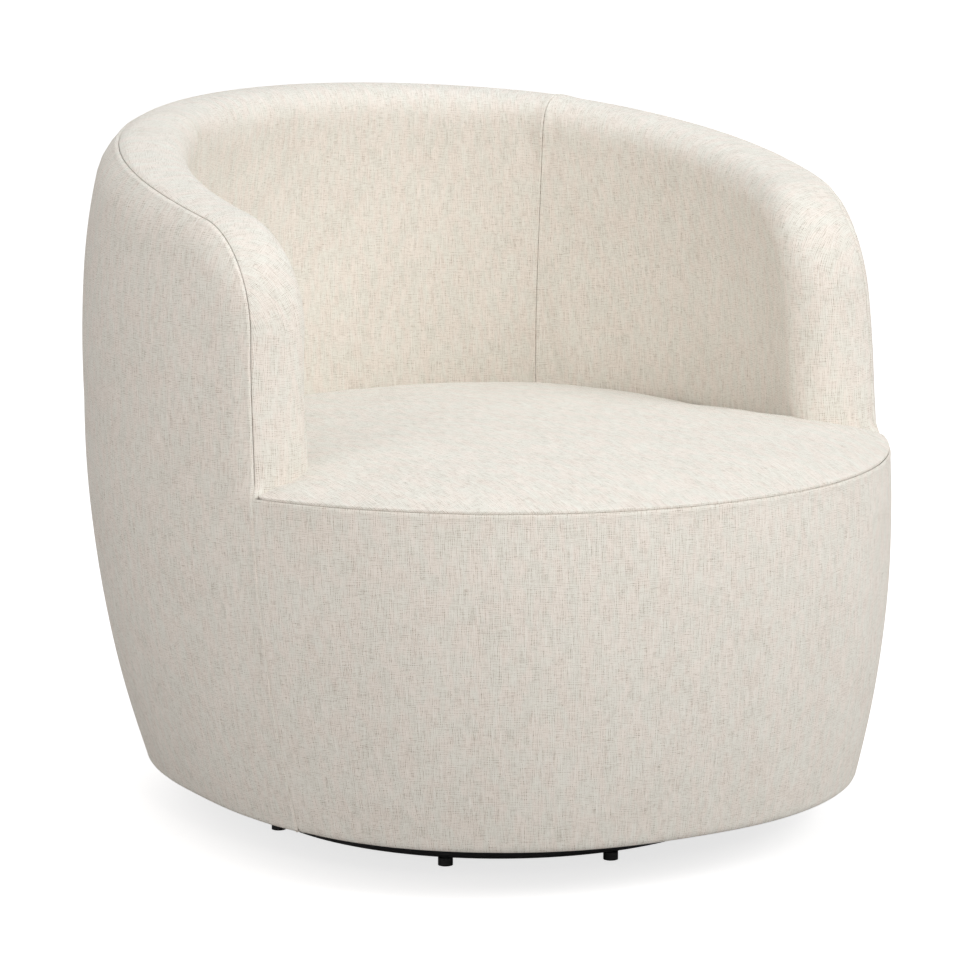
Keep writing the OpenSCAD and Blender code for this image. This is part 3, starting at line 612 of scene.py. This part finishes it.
def makeBack():
    spec = backPad
    top = rollRadius - innerArc
    downs = spread(seamSteps, 1, [0], spec["rows"])
    half = len(seamSteps) + spec["columns"] // 2 - 1

    def flatAt(i, j):
        k = min(i, 2 * half - i)
        share = (k - len(seamSteps) + 1) / (half - len(seamSteps) + 1)
        fall = (j - len(seamSteps) + 1) / spec["rows"]
        x = y = 0
        for again in range(3):
            edge = backSeamAt(y)
            x = edge + seamSteps[k] if k < len(seamSteps) else blendOf(edge + seamSteps[-1], middle, share)
            total = rimAt(x) - spec["foot"] - top
            y = top + (downs[j] if j < len(seamSteps) else blendOf(seamSteps[-1], total, fall))
        near = x - edge
        if i > half:
            x = 2 * middle - x
        return x, y, x, rimAt(x) - y, min(y - top, near)

    bm = panelGrid(2 * half + 1, len(downs), flatAt, lambda x, y: clothPoint(x, y, False))
    makePad("backPad", bm, spec, ["back_cover", "back_foam"])


armPad = dict(columns=92, rows=30, foot=0.376, depth=0.026, under=0.0015, underBy=0.02, pressure=3.5, cap=0.004,
              full=0, ridge=0.0, uneven=0.0007, waveSize=0.09, seed=7.0, reach=0.55, lastTurn=0.03)


def bentRow(side, turn, far, footAt, topAt):
    # one row that comes up from the foot, turns over the arm's corner and runs on to the rear
    turn = min(turn, max(0, footAt(side) - topAt(side + turn)))
    rise = max(0, footAt(side) - topAt(side + turn) - turn)
    bend = turn * math.pi / 2
    total = rise + bend + far - side - turn

    def at(s):
        if s < rise:
            return side, footAt(side) - s
        if s < rise + bend:
            a = (s - rise) / turn
            return side + turn - turn * math.cos(a), topAt(side + turn) + turn - turn * math.sin(a)
        x = side + turn + s - rise - bend
        return x, topAt(x)
    return total, at


def makeArm(name, sign, nodes):
    spec = armPad
    far = backSeamAt(0)
    edge = rollRadius - innerArc
    radius = barrel["corner"] - rollRadius + innerArc
    inward = far * spec["reach"]

    def footAt(x):
        return rimAt(max(x, 0)) - spec["foot"]

    rows = []
    for level in seamSteps:
        topAt = lambda x, d=level: edge + d
        rows.append((edge + level, radius - level, topAt))
    for level in [k / spec["rows"] for k in range(1, spec["rows"] + 1)]:
        side = blendOf(edge + seamSteps[-1], inward, level)
        turn = max(radius - seamSteps[-1] - level * (inward - edge), spec["lastTurn"] * (1 - level))
        topAt = lambda x, q=level: blendOf(edge + seamSteps[-1], footAt(x), q)
        rows.append((side, turn, topAt))
    for j, (side, turn, topAt) in enumerate(rows):
        end = far
        for again in range(3):
            end = backSeamAt(topAt(end))
        total, at = bentRow(side, turn, end, footAt, topAt)
        rows[j] = [at(s) for s in spread([0], total, seamSteps, spec["columns"])]

    def gapOf(x, y):
        across, up = barrel["corner"] - x, barrel["corner"] - y
        top = radius - math.hypot(across, up) if across > 0 and up > 0 else min(x, y) - edge
        return max(0, min(top, backSeamAt(y) - x))

    def flatAt(i, j):
        x, y = rows[j][i]
        return x, y, x, rimAt(max(x, 0)) - y, gapOf(x, y)

    def placeAt(x, y):
        point = clothPoint(x, y, False)
        return Vector((point.x * sign, point.y, point.z))

    def wayOut(p):
        return Vector((-sign * 0.4, -0.2, 0.6)) if p.z > 0.5 else Vector((-sign, 0, 0))

    bm = panelGrid(len(rows[0]), len(rows), flatAt, placeAt)
    makePad(name, bm, dict(spec, seed=spec["seed"] * sign, wayOut=wayOut), nodes)


# The seat's edge draws in behind the arms' fronts over a short turn, and the rise of its crown over a wider one
seatPad = dict(rings=44, below=9, bunching=1.55, drops=[0, 0.2, 0.4, 0.58, 0.74, 0.85, 0.925, 0.965, 0.985, 1],
               edgeDraw=(63.7, 3.4), crownDraw=(55, 37), wallLap=0.0005, shy=0.0006, leastDrop=0.003,
               depth=0.03, inner=0.93, under=0.002, underBy=0.02, pressure=4.0, cap=0.005,
               full=0, ridge=0.0, uneven=0.0012, waveSize=0.09, seed=11.0, wayOut=lambda p: Vector((0, 0, 1)))


def seatInset(angle, draw):
    start, turn = draw
    return (barrel["wall"] - seatPad["wallLap"]) * smooth((abs(angle) - start) / turn) + seatPad["shy"]


def seatPlace(angle, share, down):
    # share runs from the middle of the seat, 0, to its edge, 1
    drawn = smooth((abs(angle) - barrel["armAngle"]) / barrel["edgeTurn"])
    low = blendOf(barrel["frontEdge"], barrel["wallEdge"], drawn)
    rim = skinPoint(angle, low, seatInset(angle, seatPad["edgeDraw"]))
    crownRim = skinPoint(angle, low, seatInset(angle, seatPad["crownDraw"]))
    mid = Vector((0, axisY + leanAt(low), low))
    reach = min(1, share * (rim - mid).length / (crownRim - mid).length)
    z = low + (barrel["crown"] - low) * math.sqrt(max(0, 1 - reach ** barrel["crownShare"])) - down
    return Vector((rim.x * share, blendOf(mid.y, rim.y, share), z))


def seatFoot(angle):
    return min(barrel["seatSeam"], seatPlace(angle, 1, 0).z - seatPad["leastDrop"])


def makeSeat():
    # a square grid whose rings become the seat's outlines: from the crown out to the edge, then down to the seam
    spec = seatPad
    n = spec["rings"]
    tops = n - spec["below"]
    shares = [1 - (1 - k / tops) ** spec["bunching"] for k in range(tops + 1)]

    def ringPlace(angle, ring):
        if ring <= tops:
            return seatPlace(angle, shares[ring], 0)
        depth = seatPlace(angle, 1, 0).z - seatFoot(angle)
        return seatPlace(angle, 1, depth * spec["drops"][ring - tops])

    def lower(p):
        return Vector((p.x * spec["inner"], axisY + (p.y - axisY) * spec["inner"], p.z - spec["depth"]))

    bm = bmesh.new()
    bmesh.ops.create_grid(bm, x_segments=2 * n, y_segments=2 * n, size=n)
    uv = bm.loops.layers.uv.new("cloth")
    gap = bm.verts.layers.float.new("gap")
    flats = {}
    for vert in bm.verts:
        i, j = round(vert.co.x), round(vert.co.y)
        ring = max(abs(i), abs(j))
        if ring == 0:
            angle = 0
        elif abs(j) == ring:
            angle = 45 * i / ring if j < 0 else 180 - 45 * i / ring
        else:
            angle = 90 + 45 * j / ring if i > 0 else -90 - 45 * j / ring
        angle = angle - 360 if angle > 180 else angle
        path = [ringPlace(angle, k) for k in range(ring + 1)]
        length = sum((b - a).length for a, b in zip(path, path[1:]))
        vert.co = path[-1]
        turn = math.radians(angle)
        flats[vert] = (length * math.sin(turn), -length * math.cos(turn))
        vert[gap] = max(0, path[-1].z - seatFoot(angle)) if ring >= tops else seam["fullBy"]
    for face in bm.faces:
        for loop in face.loops:
            loop[uv].uv = flats[loop.vert]
    makePad("seatPad", bm, dict(spec, inside=lower), ["seat_cover", "seat_foam"])


outerCover = dict(columns=130, rows=52, full=0.0005, ridge=1.0, uneven=0.0008, waveSize=0.11, seed=17.0,
                  thickness=0.0025, reach=0.75, lastTurn=0.02, leastRadius=0.01)


def makeOuter():
    spec = outerCover
    edge = rollRadius - outerArc
    radius = barrel["corner"] - rollRadius + outerArc
    count = spec["rows"]

    def footAt(x):
        return rimAt(max(nearOf(x), 0)) - hemEnd

    rows = []
    for j in range(len(seamSteps) + count + len(hemSteps) - 1):
        k = j - len(seamSteps) + 1
        if k <= 0:
            side, turn = edge + seamSteps[j], radius - seamSteps[j]
            topAt = lambda x, d=seamSteps[j]: edge + d
        else:
            side = blendOf(edge + seamSteps[-1], middle * spec["reach"], k / (count + len(hemSteps)))
            turn = blendOf(radius, spec["lastTurn"], min(1, k / count))
            if k < count:
                topAt = lambda x, q=k / count: blendOf(edge + seamSteps[-1], footAt(x) - hemSteps[-1], q)
            else:
                topAt = lambda x, o=hemSteps[len(hemSteps) - 1 - (k - count)]: footAt(x) - o
        total, at = bentRow(side, turn, middle, footAt, topAt)
        points = [at(s) for s in spread(hemSteps, total, [0], spec["columns"])]
        rows.append(points + [(2 * middle - x, y) for x, y in reversed(points[:-1])])

    def gapOf(x, y):
        near = nearOf(x)
        across, up = barrel["corner"] - near, barrel["corner"] - y
        return max(0, radius - math.hypot(across, up) if across > 0 and up > 0 else min(near, y) - edge)

    def flatAt(i, j):
        x, y = rows[j][i]
        return x, y, x, rimAt(max(nearOf(x), 0)) - y, gapOf(x, y)

    def placeAt(x, y):
        rim, hemTop = rimAt(max(nearOf(x), 0)), barrel["edge"] + barrel["hemRadius"]
        h = rim - y
        if h > hemTop:
            return clothPoint(x, y, True)
        # under the edge it draws in towards the axis, from the place where its hem begins
        z, inset = hemmed(h)
        point = clothPoint(x, rim - barrel["edge"] - barrel["hemRadius"], True)
        flat = Vector((point.x, point.y - axisY, 0))
        skin = skinPoint(math.degrees(math.atan2(flat.x, -flat.y)), z, 0)
        pull = 1 - inset / flat.length
        whole = max(spec["leastRadius"], math.hypot(flat.x, flat.y - leanAt(hemTop)))
        narrow = min(1, math.hypot(skin.x, skin.y - axisY - leanAt(z)) / whole)
        return Vector((flat.x * pull * narrow, axisY + flat.y * pull * narrow, z))

    makeCover("outerCover", panelGrid(len(rows[0]), len(rows), flatAt, placeAt), spec, ["outer_cover"])


apronCover = dict(columns=110, rows=34, full=0.0005, ridge=0.5, uneven=0.0006, waveSize=0.11, seed=23.0,
                  thickness=0.0025)


def makeApron():
    spec = apronCover
    half = barrel["sideSeam"] * armArc
    across = spread(seamSteps, 2 * half, seamSteps, spec["columns"])
    ups = spread(hemSteps, barrel["seatSeam"] - hemEnd, seamSteps, spec["rows"])

    def flatAt(i, j):
        x, h = across[i] - half, hemEnd + ups[j]
        return x, h, x, h, max(0, min(barrel["seatSeam"] - h, half - abs(x)))

    def placeAt(x, h):
        z, inset = hemmed(h)
        return skinPoint(x / armArc, max(z, barrel["edge"]), inset)

    makeCover("frontApron", panelGrid(len(across), len(ups), flatAt, placeAt), spec, ["front_apron"])


# foldIn and foldUp follow the folded edge: the cloth's edge, the fold, and the end of what is folded in
dustCloth = dict(inset=0.012, sag=0.0025, drop=0.0009, rays=144, rings=16, hole=0.151, hem=0.010, thickness=0.0003,
                 foldIn=(0, 0.0004, 0.010), foldUp=(0, 0.0004, 0.0006), meanRadius=0.35, waves=9, waveShare=0.35)


def makeDust():
    # stretched under the bottom board, its edge folded in once, with a round hole for the swivel's plate
    spec = dustCloth
    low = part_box("bottom_board")[0][2] - spec["drop"]
    bm = bmesh.new()
    bmesh.ops.create_circle(bm, segments=spec["rays"], radius=1)
    border = bm.edges[:]
    for ring in range(1, spec["rings"] + 3):
        grown = bmesh.ops.extrude_edge_only(bm, edges=border)["geom"]
        border = [e for e in grown if isinstance(e, bmesh.types.BMEdge)]
        for vert in grown:
            if isinstance(vert, bmesh.types.BMVert):
                vert.co *= (ring + 1) / math.hypot(vert.co.x, vert.co.y)
    for vert in bm.verts:
        ring = round(math.hypot(vert.co.x, vert.co.y)) - 1
        angle = math.degrees(math.atan2(vert.co.x, -vert.co.y))
        edge = skinPoint(angle, barrel["edge"], spec["inset"])
        edge.z = 0
        mid = Vector((0, axisY, 0))
        near = mid + (edge - mid).normalized() * spec["hole"]
        share = min(ring, spec["rings"]) / spec["rings"]
        flat = blendOf(near.x, edge.x, share), blendOf(near.y, edge.y, share)
        over = max(0, ring - spec["rings"])
        pull = 1 - spec["foldIn"][over] / spec["meanRadius"]
        wave = 1 + spec["waveShare"] * math.sin(math.radians(angle * spec["waves"]))
        sag = spec["sag"] * math.sin(math.pi * share) * wave
        vert.co = Vector((flat[0] * pull, axisY + (flat[1] - axisY) * pull, low - sag + spec["foldUp"][over]))
    bmesh.ops.recalc_face_normals(bm, faces=bm.faces[:])
    obj = toObject(bm, "dustCloth")
    thick = obj.modifiers.new("cloth", "SOLIDIFY")
    thick.thickness, thick.offset = spec["thickness"], 0
    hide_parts("dust_cover")
    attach(obj, "seat")
    obj.data.materials.append(finishes["dust_cloth"])


makeDust()
makeBack()
makeArm("armPadRight", 1, ["arm_cover_right", "arm_foam_right", "arm_front_right"])
makeArm("armPadLeft", -1, ["arm_cover_left", "arm_foam_left", "arm_front_left"])
makeSeat()
makeOuter()
makeApron()
print("upholstery made")


# Camera, lamps, world and floor
def aimed(name, data, place, aim):
    obj = bpy.data.objects.new(name, data)
    obj.location = place
    obj.rotation_euler = (Vector(aim) - Vector(place)).to_track_quat("-Z", "Y").to_euler()
    bpy.context.scene.collection.objects.link(obj)
    return obj


camera = aimed("camera", bpy.data.cameras.new("camera"), (-2.001, -3.467, 1.066), (0, 0.0071, 0.339))
camera.data.lens, camera.data.sensor_width, camera.data.clip_end = 145.3, 36, 200
bpy.context.scene.camera = camera

# kind, place, aim, size, power and colour
lamps = dict(key=("AREA", (2.1, -2.9, 2.6), (0, 0, 0.4), 2.4, 61, (1, 0.995, 0.985)),
             fill=("AREA", (-3.2, -1.2, 1.8), (0, 0, 0.4), 2.5, 19, (1, 0.95, 0.91)),
             over=("AREA", (0.2, 0.0, 3.4), (0, 0, 0.4), 2.6, 25, (0.79, 0.92, 1)),
             hollow=("SPOT", (-1.1, -3.6, 2.0), (0.1, 0.2, 0.49), 0.5, 225, (1, 0.965, 0.91)))
spotAngle = math.radians(20)
for name, (kind, place, aim, size, power, tint) in lamps.items():
    lamp = bpy.data.lights.new(name, kind)
    lamp.energy, lamp.color = power, tint
    if kind == "AREA":
        lamp.shape, lamp.size = "DISK", size
    else:
        lamp.shadow_soft_size, lamp.spot_size, lamp.spot_blend = size, spotAngle, 1
    aimed(name, lamp, place, aim)

world = bpy.data.worlds.new("studio")
bpy.context.scene.world = world
world.use_nodes = True
w = Wire(world.node_tree)
seen = w.add("ShaderNodeLightPath", out="Is Camera Ray")
for ray in ("Is Glossy Ray", "Is Transmission Ray"):
    seen = w.maths("MAXIMUM", seen, w.add("ShaderNodeLightPath", out=ray))
feed(w.colours(seen, (0.55, 0.53, 0.515, 1), (1, 1, 1, 1)), world.node_tree.nodes["Background"], "Color")

floorMesh = bmesh.new()
bmesh.ops.create_grid(floorMesh, x_segments=4, y_segments=4, size=30)
floor = toObject(floorMesh, "floor")
constants = {"Roughness": 0.9, "Specular IOR Level": 0.1, "Emission Strength": 0.74}
floorPaint, w, shader = newMaterial("pale floor", constants)
patches = w.noise(objectPoint(w), 3, 2, 0.5).ramp(0.3, 0.7)
feed(w.colours(patches, (0.60, 0.60, 0.60, 1), (0.62, 0.62, 0.62, 1)), shader, "Base Color")
toCamera = w.add("ShaderNodeLightPath", out="Is Camera Ray")
feed(w.colours(toCamera, (0, 0, 0, 1), (1, 1, 1, 1)), shader, "Emission Color")
# the floor hides nothing from below
sides = {0: w.add("ShaderNodeNewGeometry", out="Backfacing"), 1: Wire(w.tree, shader.outputs[0]),
         2: w.add("ShaderNodeBsdfTransparent")}
feed(w.add("ShaderNodeMixShader", {}, sides), w.tree.nodes["Material Output"], "Surface")
floor.data.materials.append(floorPaint)

bpy.context.scene.view_settings.view_transform = "Standard"
print("scene made")
